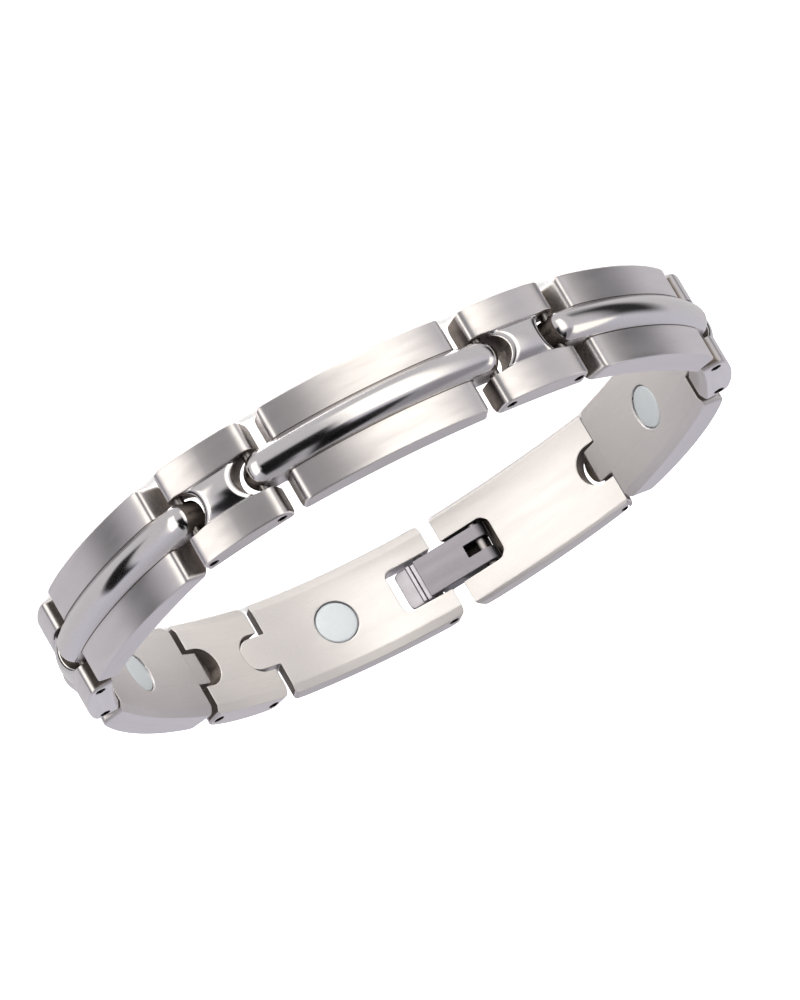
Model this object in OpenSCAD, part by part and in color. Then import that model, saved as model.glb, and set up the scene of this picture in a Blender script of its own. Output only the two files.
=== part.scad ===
// Stainless steel link bracelet with inset magnets and a lever clasp, closed, standing on its edge.
// Each piece is drawn in a frame of its own: x runs along the band, y points away from the wrist
// and z runs across the band, from the edge it stands on (0) to the upper edge (band_w).
// The band is walked from pin to pin, starting at the catch pin of the clasp.

/* [Band] */
// Width of the band, which is the height of the standing bracelet
band_w = 10.8; // [10:0.1:11.5]
// Distance between the two pins of a long link
long_pitch = 26; // [25:0.5:27]
// Distance between the two pins of a short link
short_pitch = 8.2; // [7.9:0.05:8.6]
// Depth of the soft bevel along both inner edges
bevel_depth = 0.45; // [0.2:0.05:0.6]
// Width of the soft bevel along both inner edges
bevel_width = 0.9; // [0.5:0.1:1.2]

/* [Curve of the loop] */
// Direction of the catch link, from its clasp pin to its link pin, in degrees
first_heading = -19.7; // [-20.2:0.1:-19.2]
// Direction of the line from the hinge pin to the catch pin, in degrees
clasp_heading = 6.2; // [5.7:0.1:6.7]

/* [Long links] */
// Gap between a pin's axis and the end of the brushed panels
panel_inset = 2.55; // [2.3:0.05:2.8]
// Height of the panels above the pin line at mid length
panel_crown = 3.4; // [3:0.05:3.7]
// Radius of the panels along the band
panel_radius = 40.5; // [37:0.5:46]
// Height of the inner face above the pin line at mid length
long_seat = -0.15; // [-0.4:0.05:0]
// Radius of the inner face along the band
long_seat_radius = 60; // [50:5:90]
// Width of the polished half-round bar
bar_w = 3.7; // [3.4:0.1:3.9]
// Height of the bar's crest above the pin line at mid length
bar_crown = 4.4; // [4.1:0.05:4.6]
// Radius of the bar's crest along the band
bar_radius = 37; // [36:0.5:40]
// How far the rounded crest rises above the bar's straight sides
bar_arch = 1.15; // [0.9:0.05:1.3]
// How far the bar's tongue runs past the pin's axis
tongue_reach = 1.2; // [1:0.05:1.3]

/* [Short links] */
// How far a link end runs past its pin's axis
end_reach = 1.2; // [1:0.05:1.3]
// Height of the short link above the pin line at mid length
short_crown = 1.75; // [1.6:0.05:1.9]
// Radius of the short link along the band
short_radius = 24; // [20:1:40]
// Height of the inner face above the pin line at mid length
short_seat = -1.65; // [-1.8:0.05:-1.5]
// Radius of the inner face along the band
short_seat_radius = 60; // [50:5:90]
// Radius of the round notch that takes a tongue
notch_r = 2.2; // [2.1:0.05:2.3]
// Width of the polished saddle between the arms
saddle_w = 4.1; // [3.9:0.1:4.2]
// How far the saddle's crest stands above the arms
saddle_rise = 0.35; // [0.25:0.05:0.45]
// How far the rounded crest rises above the saddle's sides
saddle_arch = 0.65; // [0.55:0.05:0.75]

/* [End links] */
// Distance between the clasp pin and the link pin of the catch link
catch_pitch = 21.9; // [21.5:0.1:22.5]
// Height of the catch link above the pin line at its highest place
catch_crown = 2.7; // [2.6:0.05:3]
// Radius of the catch link along the band
catch_radius = 50; // [45:1:55]
// Height of the catch link's inner face above the pin line at its highest place
catch_seat = 0.25; // [0:0.05:0.3]
// Radius of the catch link's inner face along the band
catch_seat_radius = 36; // [34:1:45]
// How far the catch link's mouth is cut past the clasp pin
catch_mouth = 4.3; // [4.1:0.1:4.8]
// Place of the hinge pin along the hinge link, from the link pin
hinge_along = 15.35; // [15:0.05:15.7]
// Length of the hinge link past its hinge pin
hinge_tail = 3.5; // [3.2:0.1:3.8]
// Height of the hinge link above the pin line at mid length
hinge_crown = 1.5; // [1.3:0.05:1.8]
// Radius of the hinge link along the band
hinge_radius = 49; // [45:1:60]
// Height of the hinge link's inner face above the pin line at mid length
hinge_seat = -1.1; // [-1.3:0.05:-1.05]
// Width of the clasp's slots in both end links
slot_w = 5; // [4.8:0.1:5.2]

/* [Clasp lever] */
// Width of the lever
lever_w = 4.4; // [4.2:0.05:4.6]
// Length of the plate past the hinge pin
plate_len = 7.25; // [7.15:0.05:7.5]
// Radius of the lever's eye, which is also the plate's height above the hinge pin
eye_r = 1.15; // [1.05:0.05:1.2]
// Width of the gap between the lever's two hinge prongs
prong_gap = 1.35; // [1.2:0.05:1.6]

/* [Pins and magnets] */
// Radius of a link pin
pin_r = 0.5; // [0.4:0.05:0.5]
// Clearance round a link pin
pin_play = 0.03; // [0.02:0.01:0.05]
// How far a pin's ends lie below the band's edges
pin_recess = 0.9; // [0.5:0.1:1.2]
// Radius of the hinge pin
hinge_pin_r = 0.6; // [0.5:0.05:0.6]
// Radius of a magnet
magnet_r = 2.3; // [2:0.05:2.4]
// Thickness of a magnet
magnet_h = 1.4; // [1:0.1:1.5]
// Clearance round and under a magnet
magnet_play = 0.08; // [0.05:0.01:0.12]

/* [Hidden] */
$fn = 96;

steel = "gainsboro";
polished = "silver";
clasp_steel = "darkgray";
magnet_grey = "lightsteelblue";
past = 1;                      // how far a cutting shape runs past what it cuts
under = 4;                     // where a shape that goes right through starts, below the pin line
through = 9;                   // height of such a shape
mid_z = band_w / 2;
pin_hole_r = pin_r + pin_play;
hinge_drop = 0.4;              // how far the hinge pin lies on the wrist side of the link pin line
catch_along = 6.6;             // catch pin from the hinge pin, along the lever's plate
catch_deep = 0.15;             // catch pin from the hinge pin, away from the wrist
corner_short = 1;              // rounding of the outer corners of the short and end links
corner_long = 0.8;             // rounding of the panels' outer corners
magnet_inset = 10.65;          // magnet of the catch link, from the link pin

// Turn of the band at each link pin, in degrees, from the catch link's to the last long link's
turns = [28.2, 21.7, 27.2, 33.1, 39.1, 24.5, 16.1, 30.5, 34.4];

function dir(a) = [cos(a), sin(a)];
function angle_of(v) = atan2(v[1], v[0]);
function total(list, n) = n == 0 ? 0 : list[n - 1] + total(list, n - 1);

// Segments in walking order: the catch link, then a short and a long link five times over
function pitch(i) = i == 0 ? catch_pitch : (i % 2 == 1 ? short_pitch : long_pitch);
function heading(i) = first_heading - total(turns, i);
function pin_at(i) = i == 0 ? [0, 0] : pin_at(i - 1) + pitch(i - 1) * dir(heading(i - 1));

// The clasp's two pins fix the hinge pin. The last long link and the hinge link then meet where
// two circles cross, one about the last short link's far pin and one about the hinge pin.
lever_line = norm([catch_along, catch_deep]);
hinge_line = norm([hinge_along, hinge_drop]);
hinge_xy = -lever_line * dir(clasp_heading);
last_xy = pin_at(10);
gap = hinge_xy - last_xy;
gap_len = norm(gap);
last_heading = angle_of(gap)
    + acos((long_pitch * long_pitch + gap_len * gap_len - hinge_line * hinge_line)
           / (2 * long_pitch * gap_len));
meet_xy = last_xy + long_pitch * dir(last_heading);
hinge_heading = angle_of(hinge_xy - meet_xy) + atan2(hinge_drop, hinge_along);
lever_heading = clasp_heading - atan2(catch_deep, catch_along);

// Middle of the loop's bounding box, from the catch pin
loop_mid = [-0.3233, -34.059];

module on_band(at, turn) {
    translate([at[0] - loop_mid[0], at[1] - loop_mid[1], 0]) rotate([0, 0, turn]) children();
}

module on_segment(i) {
    on_band(pin_at(i), i == 10 ? last_heading : heading(i)) children();
}

// Height of an arc of radius r with its top at crown, at distance s from the top
function arc_y(crown, r, s) = crown - r + sqrt(r * r - s * s);

// Outer corner of a side profile, rounded to radius r where the end line x = x_end meets the arc
module corner_cut(x_end, side, top, crown, r_arc, r) {
    cx = x_end - side * r;
    cy = crown - r_arc + sqrt(pow(r_arc - r, 2) - pow(cx - top, 2));
    touch = cx + r * (cx - top) / (r_arc - r);
    difference() {
        polygon([[touch, cy], [x_end + side * past, cy], [x_end + side * past, cy + 2 * r],
                 [touch, cy + 2 * r]]);
        translate([cx, cy]) circle(r = r);
    }
}

// Solid slab of the band: a flat-ended piece under an outer arc, with rounded outer corners
module slab(x0, x1, top, crown, r_arc, r_corner) {
    linear_extrude(height = band_w) difference() {
        intersection() {
            translate([top, crown - r_arc]) circle(r = r_arc);
            translate([x0, -under]) square([x1 - x0, under + crown + past]);
        }
        corner_cut(x0, -1, top, crown, r_arc, r_corner);
        corner_cut(x1, 1, top, crown, r_arc, r_corner);
    }
}

// What is cut from the wrist side: a round of radius r, flared at both edges into soft bevels
module wrist_cut(top, seat, r) {
    flare = bevel_depth * (bevel_width + past) / bevel_width;
    translate([top, seat - r, 0]) rotate_extrude() polygon([
        [0, -past], [r + flare, -past], [r, bevel_width],
        [r, band_w - bevel_width], [r + flare, band_w + past], [0, band_w + past]
    ]);
}

// A round hole across the band
module cross_hole(x, y, r) {
    translate([x, y, -past]) cylinder(h = band_w + 2 * past, r = r);
}

// A round notch, open towards side, that takes the tongue of a neighbouring link
module tongue_notch(x, side) {
    depth = end_reach + past;
    translate([x, -under, mid_z]) rotate([-90, 0, 0]) cylinder(h = through, r = notch_r);
    translate([side > 0 ? x : x - depth, -under, mid_z - notch_r])
        cube([depth, through, 2 * notch_r]);
}

// Pocket for a magnet in the wrist side of a link
module magnet_pocket(x, seat) {
    r = magnet_r + magnet_play;
    deep = magnet_h + 2 * magnet_play;
    translate([x, seat - past, mid_z]) rotate([-90, 0, 0]) cylinder(h = deep + past, r = r);
}

module magnet(x, seat) {
    color(magnet_grey) translate([x, seat + magnet_play, mid_z]) rotate([-90, 0, 0])
        cylinder(h = magnet_h, r = magnet_r);
}

module cross_pin(x, r, len) {
    color(polished) translate([x, 0, mid_z - len / 2]) cylinder(h = len, r = r);
}

// Polished bar of a long link: a round-topped rail on an arc, with a domed nose round each pin. On
// the wrist side the noses are a little thinner than the link, past a straight edge.
module bar() {
    half = bar_w / 2;
    tube_r = (half * half + bar_arch * bar_arch) / (2 * bar_arch);
    tube_ring = bar_radius - tube_r;
    nose_x = half - tongue_reach;
    sweep = asin((long_pitch / 2 - nose_x) / tube_ring);
    nose_y = bar_crown - bar_radius + tube_ring * cos(sweep);
    root = 30;                     // inner radius of the rail, inside the panels
    nose_low = -1;                 // height of the noses' wrist side
    toe = 0.2;                     // from the middle of a nose's round to the straight edge
    translate([long_pitch / 2, bar_crown - bar_radius, mid_z]) rotate([0, 0, 90 - sweep])
        rotate_extrude(angle = 2 * sweep) intersection() {
            translate([root, -half]) square([bar_radius, bar_w]);
            union() {
                translate([tube_ring, 0]) circle(r = tube_r);
                translate([root, -half]) square([tube_ring - root, bar_w]);
            }
        }
    translate([nose_x, -under, mid_z - half])
        cube([long_pitch - 2 * nose_x, under + nose_y, bar_w]);
    for (x = [nose_x, long_pitch - nose_x]) difference() {
        translate([x, 0, mid_z]) rotate([-90, 0, 0]) rotate_extrude() intersection() {
            translate([0, -under]) square([half, under + nose_y + tube_r]);
            union() {
                translate([0, nose_y]) circle(r = tube_r);
                translate([0, -under]) square([half, under + nose_y]);
            }
        }
        translate([x == nose_x ? x - toe - half : x + toe, -under - past, 0])
            cube([half, under + past + nose_low, band_w]);
    }
}

module long_link() {
    mid = long_pitch / 2;
    color(steel) difference() {
        union() {
            slab(panel_inset, long_pitch - panel_inset, mid, panel_crown, panel_radius, corner_long);
            bar();
        }
        wrist_cut(mid, long_seat, long_seat_radius);
        magnet_pocket(mid, long_seat);
        for (x = [0, long_pitch]) cross_hole(x, 0, pin_hole_r);
    }
}

// The polished saddle between the arms: a round-topped rail about the same centre as their arc
module saddle() {
    half = saddle_w / 2;
    tube_r = (half * half + saddle_arch * saddle_arch) / (2 * saddle_arch);
    crest = short_radius + saddle_rise;
    sunk = 0.1;                    // how far the rail runs into the arms on both sides
    root = 19;                     // inner radius of the rail
    sweep = 9.2;                   // turn from its middle to an end, in degrees
    translate([short_pitch / 2, short_crown - short_radius, mid_z]) rotate([0, 0, 90 - sweep])
        rotate_extrude(angle = 2 * sweep) intersection() {
            translate([root, -half - sunk]) square([crest - root, 2 * (half + sunk)]);
            translate([crest - tube_r, 0]) circle(r = tube_r);
        }
}

module short_link() {
    mid = short_pitch / 2;
    floor_y = 0.5;                 // the arms stand apart above this height
    color(steel) difference() {
        union() {
            difference() {
                slab(-end_reach, short_pitch + end_reach, mid, short_crown, short_radius, corner_short);
                translate([-end_reach - past, floor_y, mid_z - saddle_w / 2])
                    cube([short_pitch + 2 * (end_reach + past), through, saddle_w]);
            }
            saddle();
        }
        wrist_cut(mid, short_seat, short_seat_radius);
        tongue_notch(0, -1);
        tongue_notch(short_pitch, 1);
        for (x = [0, short_pitch]) cross_hole(x, 0, pin_hole_r);
    }
}

// Catch link: a mouth at the clasp pin, a magnet and a plain tongue at the link pin
module catch_link() {
    top = 10.1;                    // where the link is highest, from the clasp pin
    half = bar_w / 2;
    tongue_x = catch_pitch + tongue_reach - half;
    corner = 0.8;                  // rounding of the mouth's corners
    mouth_z = mid_z - slot_w / 2;
    color(steel) difference() {
        union() {
            slab(-end_reach, catch_pitch - panel_inset, top, catch_crown, catch_radius, corner_short);
            intersection() {
                translate([top, catch_crown - catch_radius, 0]) cylinder(h = band_w, r = catch_radius);
                union() {
                    translate([top, -under, mid_z - half]) cube([tongue_x - top, through, bar_w]);
                    translate([tongue_x, -under, mid_z]) rotate([-90, 0, 0])
                        cylinder(h = through, r = half);
                }
            }
        }
        wrist_cut(top, catch_seat, catch_seat_radius);
        magnet_pocket(catch_pitch - magnet_inset, catch_seat);
        translate([-end_reach - past, -under, mouth_z])
            cube([catch_mouth + end_reach + past - corner, through, slot_w]);
        translate([-end_reach - past, -under, mouth_z + corner])
            cube([catch_mouth + end_reach + past, through, slot_w - 2 * corner]);
        for (z = [mouth_z + corner, mouth_z + slot_w - corner])
            translate([catch_mouth - corner, -under, z]) rotate([-90, 0, 0])
                cylinder(h = through, r = corner);
        for (x = [0, catch_pitch]) cross_hole(x, 0, pin_hole_r);
    }
}

// The lever's slot in the hinge link: open at the tail and on the wrist side. A lip closes its inner
// end on the outer side, clear of the lever's eye.
module lever_slot(tail) {
    slot_x = hinge_along - 2.05;   // closed end of the slot
    slot_z = mid_z - slot_w / 2;
    chamfer = 0.7;                 // cut corners of that end
    lip_x = hinge_along - 0.6;     // tip of the lip
    lip_y = 0.5;                   // height of its underside
    eye_play = 0.22;               // clearance between the lip and the lever's eye
    translate([0, lip_y, 0]) rotate([90, 0, 0]) linear_extrude(height = lip_y + under) polygon([
        [tail + past, slot_z], [slot_x + chamfer, slot_z], [slot_x, slot_z + chamfer],
        [slot_x, slot_z + slot_w - chamfer], [slot_x + chamfer, slot_z + slot_w],
        [tail + past, slot_z + slot_w]
    ]);
    translate([lip_x, -under, slot_z]) cube([tail + past - lip_x, through, slot_w]);
    translate([hinge_along, -hinge_drop, slot_z]) cylinder(h = slot_w, r = eye_r + eye_play);
}

// Hinge link: a round notch at the link pin and a slot for the lever at the far end
module hinge_link() {
    tail = hinge_along + hinge_tail;
    mid = (tail - end_reach) / 2;
    bore = slot_w + 3.2;           // length of the hinge pin's hole, blind at both ends
    color(steel) difference() {
        slab(-end_reach, tail, mid, hinge_crown, hinge_radius, corner_short);
        wrist_cut(mid, hinge_seat, long_seat_radius);
        tongue_notch(0, -1);
        lever_slot(tail);
        cross_hole(0, 0, pin_hole_r);
        translate([hinge_along, -hinge_drop, mid_z - bore / 2])
            cylinder(h = bore, r = hinge_pin_r + pin_play);
    }
}

// Side outline of the lever: plate on the wrist side, eye, jaw, finger ridge and thumb tab
module lever_outline() {
    line = norm([catch_along, catch_deep]);
    seat_a = atan2(catch_deep, catch_along);
    r_seat = pin_r + 0.08;         // seat of the catch pin, with its clearance
    sweep = 30;                    // turn over which the jaw is clear of the catch pin, in degrees
    groove = 0.7;                  // depth of the groove before the finger ridge
    plate_top = eye_r - 0.02;
    difference() {
        union() {
            circle(r = eye_r);
            polygon([
                [0, -eye_r], [plate_len, -eye_r], [plate_len, -eye_r + groove],
                [plate_len + 0.5, -eye_r + groove], [plate_len + 0.6, -0.8],
                [plate_len + 0.95, -0.8], [plate_len + 1.1, -0.4], [plate_len + 2.6, -0.25],
                [plate_len + 2.6, 0.45], [plate_len + 1.25, 0.6], [plate_len + 1.1, 1.45],
                [plate_len + 0.1, 1.5], [plate_len - 1.8, 1.4], [plate_len - 2.4, plate_top],
                [0, plate_top]
            ]);
        }
        translate([catch_along, catch_deep]) circle(r = r_seat);
        intersection() {
            difference() {
                circle(r = line + r_seat);
                circle(r = line - r_seat);
            }
            polygon([[0, 0], 2 * line * dir(seat_a), 2 * line * dir(seat_a + sweep)]);
        }
    }
}

module lever() {
    prong_len = 1.8;               // how far the prongs' gap runs past the hinge pin
    web_y = 0.72;                  // underside of the web that closes the gap on the outer side
    prong_play = 0.05;             // clearance round the hinge pin
    color(clasp_steel) difference() {
        translate([0, 0, mid_z - lever_w / 2]) linear_extrude(height = lever_w) lever_outline();
        cross_hole(0, 0, hinge_pin_r + prong_play);
        translate([-under, -under, mid_z - prong_gap / 2])
            cube([under + prong_len, under + web_y, prong_gap]);
    }
}

module link_pin() {
    cross_pin(0, pin_r, band_w - 2 * pin_recess);
}

on_segment(0) catch_link();  // end_link_catch
on_band(meet_xy, hinge_heading) hinge_link();  // end_link_hinge
on_band(hinge_xy, lever_heading) lever();  // clasp_lever
for (i = [1:5]) {
    on_segment(2 * i - 1) short_link();
    on_segment(2 * i) long_link();
    on_segment(2 * i) magnet(long_pitch / 2, long_seat);
}
on_segment(0) magnet(catch_pitch - magnet_inset, catch_seat);  // magnet_6
for (i = [1:10]) on_segment(i) link_pin();
on_band(meet_xy, 0) link_pin();  // link_pin_11
on_segment(0) link_pin();  // catch_pin
on_band(hinge_xy, 0) cross_pin(0, hinge_pin_r, slot_w + 3);  // hinge_pin
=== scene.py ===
import math
from types import SimpleNamespace

import bpy
import numpy as np
from bpy.props import FloatProperty, FloatVectorProperty, PointerProperty
from mathutils import Matrix, Vector


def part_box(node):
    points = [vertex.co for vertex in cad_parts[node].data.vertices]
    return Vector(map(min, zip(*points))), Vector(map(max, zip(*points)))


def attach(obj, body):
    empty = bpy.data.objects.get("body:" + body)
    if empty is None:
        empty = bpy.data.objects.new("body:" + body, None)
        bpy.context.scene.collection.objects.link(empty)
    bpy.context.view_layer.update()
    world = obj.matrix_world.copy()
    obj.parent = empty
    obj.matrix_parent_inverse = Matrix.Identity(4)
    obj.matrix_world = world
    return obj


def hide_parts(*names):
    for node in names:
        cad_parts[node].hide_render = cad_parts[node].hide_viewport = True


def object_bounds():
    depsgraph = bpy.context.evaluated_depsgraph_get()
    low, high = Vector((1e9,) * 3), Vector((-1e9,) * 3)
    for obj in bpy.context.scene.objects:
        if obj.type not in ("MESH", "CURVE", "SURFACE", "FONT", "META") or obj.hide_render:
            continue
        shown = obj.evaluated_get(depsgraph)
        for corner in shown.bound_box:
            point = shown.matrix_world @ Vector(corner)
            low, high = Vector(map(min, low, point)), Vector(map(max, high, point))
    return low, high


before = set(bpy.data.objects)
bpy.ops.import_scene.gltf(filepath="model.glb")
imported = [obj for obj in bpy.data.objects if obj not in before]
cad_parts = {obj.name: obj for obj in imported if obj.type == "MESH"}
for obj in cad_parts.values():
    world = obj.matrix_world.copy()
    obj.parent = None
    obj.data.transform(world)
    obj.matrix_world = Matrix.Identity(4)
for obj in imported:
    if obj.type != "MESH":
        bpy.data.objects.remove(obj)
CAD_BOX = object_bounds()

bl_info = {
    "name": "Steel link bracelet",
    "version": (1, 0, 0),
    "blender": (4, 5, 0),
    "location": "3D View > Sidebar > Bracelet",
    "description": "Brushed and polished steel links, magnets and a lever clasp round a packed bracelet",
    "category": "Object",
}

MM = 0.001
LONG_LINKS = 5
SHORT_LINKS = 5
LINK_PINS = 11
BAND = "band"
CLASP = "clasp"


# Where each piece stands. A link's own frame has x along the band, y away from the wrist and z
# across the band, from minus half its width to plus half, with its first pin at the origin.

def pin_xy(node):
    """Axis of an upright pin of the frame, in millimetres: the middle of its box."""
    low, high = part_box(node)
    return np.array([low.x + high.x, low.y + high.y]) / (2 * MM)


def heading(start, end):
    """Direction from one axis to another, in radians."""
    way = end - start
    return math.atan2(way[1], way[0])


def place(node):
    """Origin and direction of a piece's own frame, from the pins that it hangs on."""
    kind, number = node.rsplit("_", 1)
    if kind in ("short_link", "long_link"):
        first = 2 * int(number) - (1 if kind == "short_link" else 0)
        start, end = pin_xy(f"link_pin_{first}"), pin_xy(f"link_pin_{first + 1}")
        return start, heading(start, end)
    if node == "end_link_catch":
        start = pin_xy("catch_pin")
        return start, heading(start, pin_xy("link_pin_1"))
    clasp = sizes("clasp")[0]
    if node == "end_link_hinge":
        start = pin_xy("link_pin_11")
        drop = math.atan2(clasp.hinge_drop, clasp.hinge_along)
        return start, heading(start, pin_xy("hinge_pin")) + drop
    start = pin_xy("hinge_pin")
    return start, heading(start, pin_xy("catch_pin")) - math.atan2(clasp.catch_deep, clasp.catch_along)


# Sizes and colours that a user would change

def size(name, description, mm):
    """A length property whose default is given in millimetres."""
    return FloatProperty(name=name, description=description, default=mm * MM,
                         subtype="DISTANCE", unit="LENGTH", precision=5)


def linear(code):
    """Linear red, green and blue of an sRGB hex colour."""
    parts = [int(code[i:i + 2], 16) / 255 for i in (1, 3, 5)]
    return tuple(c / 12.92 if c <= 0.04045 else ((c + 0.055) / 1.055) ** 2.4 for c in parts)


def colour(name, description, code):
    """A colour property whose default is given as an sRGB hex value."""
    return FloatVectorProperty(name=name, description=description, default=linear(code),
                               size=3, min=0, max=1, subtype="COLOR")


def sizes(*names):
    """The lengths of each named property group, in millimetres, with half the band's width."""
    found = []
    for name in names:
        group = getattr(bpy.context.scene, "bracelet_" + name)
        lengths = {key: getattr(group, key) / MM for key in group.__annotations__}
        found.append(SimpleNamespace(half_w=(CAD_BOX[1].z - CAD_BOX[0].z) / 2 / MM, **lengths))
    return found


class LongLinkSizes(bpy.types.PropertyGroup):
    """Sizes of the five long links"""
    pitch: size("Pitch", "Distance between the link's two pins", 26)
    panel_inset: size("Panel inset", "Gap between a pin's axis and the panels' end", 2.55)
    panel_crown: size("Panel crown", "Height of the panels above the pin line", 3.4)
    panel_radius: size("Panel radius", "Radius of the panels along the band", 40.5)
    corner: size("Corner", "How softly the panels bend down at the ends", 0.3)
    seat: size("Seat", "Height of the inner face above the pin line", -0.15)
    seat_radius: size("Seat radius", "Radius of the inner face along the band", 60)
    bar_w: size("Bar width", "Width of the polished bar", 3.7)
    bar_crown: size("Bar crown", "Height of the bar's crest above the pin line", 4.4)
    bar_radius: size("Bar radius", "Radius of the crest along the band", 37)
    bar_arch: size("Bar arch", "Rise of the crest above the bar's sides", 1.15)
    tongue_reach: size("Tongue reach", "How far a tongue runs past the pin's axis", 1.2)
    nose_low: size("Nose height", "Height of the noses' wrist side above the pin line", -1.25)
    polish_low: size("Polish height", "Height down to which the noses are polished", 0.55)


class ShortLinkSizes(bpy.types.PropertyGroup):
    """Sizes of the five short links"""
    pitch: size("Pitch", "Distance between the link's two pins", 8.2)
    reach: size("End reach", "How far a link end runs past its pin's axis", 1.2)
    crown: size("Crown", "Height of the link above the pin line", 1.75)
    radius: size("Radius", "Radius of the arms along the band", 24)
    corner: size("Corner", "How softly the outer face bends down at the ends", 0.42)
    seat: size("Seat", "Height of the inner face above the pin line", -1.65)
    seat_radius: size("Seat radius", "Radius of the inner face along the band", 60)
    notch_r: size("Notch radius", "Radius of the round notch for a tongue", 2.2)
    saddle_w: size("Saddle width", "Width of the saddle between the arms", 4.1)
    saddle_rise: size("Saddle rise", "How far the saddle's crest stands above the arms", 0.35)
    saddle_arch: size("Saddle arch", "Rise of the crest above the saddle's sides", 0.65)
    rim: size("Rim", "Rounding of the notches' rims on the saddle", 1)


class ClaspSizes(bpy.types.PropertyGroup):
    """Sizes of the two end links and the lever"""
    catch_crown: size("Catch crown", "Height of the catch link above the pin line", 2.7)
    catch_radius: size("Catch radius", "Radius of the catch link along the band", 50)
    catch_top: size("Catch top", "Where the catch link is highest, from the clasp pin", 10.1)
    catch_pitch: size("Catch pitch", "Distance between the catch link's two pins", 21.9)
    catch_seat: size("Catch seat", "Height of the catch link's inner face", 0.25)
    catch_seat_radius: size("Catch seat radius", "Radius of that face along the band", 36)
    catch_mouth: size("Mouth", "How far the mouth is cut past the clasp pin", 4.3)
    mouth_corner: size("Mouth corner", "Rounding of the mouth's corners", 0.8)
    magnet_inset: size("Magnet inset", "Magnet of the catch link, from its link pin", 10.65)
    hinge_along: size("Hinge place", "Hinge pin along the hinge link", 15.35)
    hinge_drop: size("Hinge drop", "How far the hinge pin lies on the wrist side", 0.4)
    hinge_tail: size("Hinge tail", "Length of the hinge link past its hinge pin", 3.5)
    hinge_crown: size("Hinge crown", "Height of the hinge link above the pin line", 1.5)
    hinge_radius: size("Hinge radius", "Radius of the hinge link along the band", 49)
    hinge_seat: size("Hinge seat", "Height of the hinge link's inner face", -1.1)
    hinge_bevel: size("Hinge bevel", "Width of the hinge link's bevel", 0.35)
    slot_w: size("Slot width", "Width of the clasp's slots in both end links", 5)
    slot_back: size("Slot back", "Closed end of the slot, behind the hinge pin", 2.05)
    slot_chamfer: size("Slot chamfer", "Cut corners of that end", 0.7)
    lip_back: size("Lip", "Tip of the slot's outer lip, behind the hinge pin", 0.6)
    lip_y: size("Lip height", "Height of the lip's underside above the pin line", 0.5)
    lip_play: size("Lip play", "Clearance between the lip and the lever's eye", 0.22)
    catch_along: size("Catch place", "Catch pin along the lever", 6.6)
    catch_deep: size("Catch rise", "Catch pin above the lever's hinge pin", 0.15)
    lever_w: size("Lever width", "Width of the lever", 4.4)
    plate_len: size("Plate length", "Length of the plate past the hinge pin", 7.25)
    eye_r: size("Eye radius", "Radius of the lever's eye", 1.15)
    prong_gap: size("Prong gap", "Width of the gap between the two prongs", 1.35)
    prong_len: size("Prong length", "How far that gap runs past the hinge pin", 1.8)
    web_y: size("Web", "Underside of the web that closes the gap on the outer side", 0.72)


class BandSizes(bpy.types.PropertyGroup):
    """Sizes that all links share"""
    bevel_depth: size("Bevel depth", "Depth of the soft bevel along both inner edges", 0.45)
    bevel_width: size("Bevel width", "Width of that bevel", 0.9)
    edge: size("Edge", "Rounding of the long outer edges", 0.16)
    plan_corner: size("Plan corner", "Rounding between the end walls and the edge faces", 0.6)
    pin_hole_r: size("Pin hole", "Radius of the holes for the link pins", 0.53)
    hinge_hole_r: size("Hinge hole", "Radius of the hinge pin's hole", 0.63)
    magnet_r: size("Magnet radius", "Radius of a magnet", 2.3)
    magnet_h: size("Magnet thickness", "Thickness of a magnet", 1.4)
    magnet_play: size("Magnet play", "Clearance round and under a magnet", 0.08)


class SteelColours(bpy.types.PropertyGroup):
    """Colours of the steels and the magnets"""
    brushed: colour("Brushed steel", "Outer faces of the links", "#e6e3e4")
    satin: colour("Satin steel", "Wrist side of the links", "#e8e5e3")
    polished: colour("Polished steel", "Bars and saddles", "#dcdadb")
    # Rougher unpolished steel with painted shade: its dark brown stands for the shade in the notches,
    # between link ends and in the creases
    raw_and_shade: colour("Raw steel", "Walls of the notches, and the ends", "#736b66")
    # Near black: painted shade on the walls of the pin holes, the hinge link's slot and the gap between the
    # lever's prongs
    hole: colour("Hole walls", "Pin holes and the gap between the prongs", "#2a2625")
    lever: colour("Lever steel", "The clasp's lever", "#78767b")
    ridge: colour("Ridge steel", "Finger ridge and thumb tab of the lever", "#9b999e")
    # Lighter than the lever: a painted highlight on the finger ridge and thumb tab, with a slightly
    # glossier finish
    magnet: colour("Magnet plating", "Faces of the magnets", "#abb0b3")
    pin: colour("Pin steel", "The pins", "#858281")


# Lengths that the panel doesn't offer, in millimetres
END_REACH = 1.2        # how far both end links run past their first pin's axis
END_CORNER = 0.36      # how softly their outer face bends down
HINGE_SEAT_RADIUS = 60
BLIND_BORE = 3.2       # by how much the hinge pin's bore is longer than the slot is wide
TAB = 2.6              # how far the lever's thumb tab runs past its plate
WRIST_EDGE = 0.1       # rounding where the wrist side cuts a link, and under a nose
CUT_EDGE = 0.12        # round notches, slots and the mouth
FINE_EDGE = 0.06       # round pockets and notch walls, and where a bar or a saddle meets its link
HOLE_EDGE = 0.05       # round the pin holes and a pocket's floor


# Distances, in millimetres: negative inside the metal and positive outside it. p is the three
# coordinates. outer and seat are arcs along the band, as (top, height, radius).

def both(a, b, r=0.0):
    """What lies inside two shapes. The edge between them is rounded to radius r: within r of both
    faces the distance is measured from the centre line of that round."""
    return np.minimum(np.maximum(a, b), -r) + np.hypot(np.maximum(a + r, 0), np.maximum(b + r, 0))


def either(a, b, r=0.0):
    """What lies inside one shape or the other, with the inner corner filled to radius r."""
    return -both(-a, -b, r)


def softly(a, b, soft):
    """What lies inside two shapes, with a round between them that starts gently on both."""
    return (a + b) / 2 + np.hypot((a - b) / 2, soft)


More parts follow.
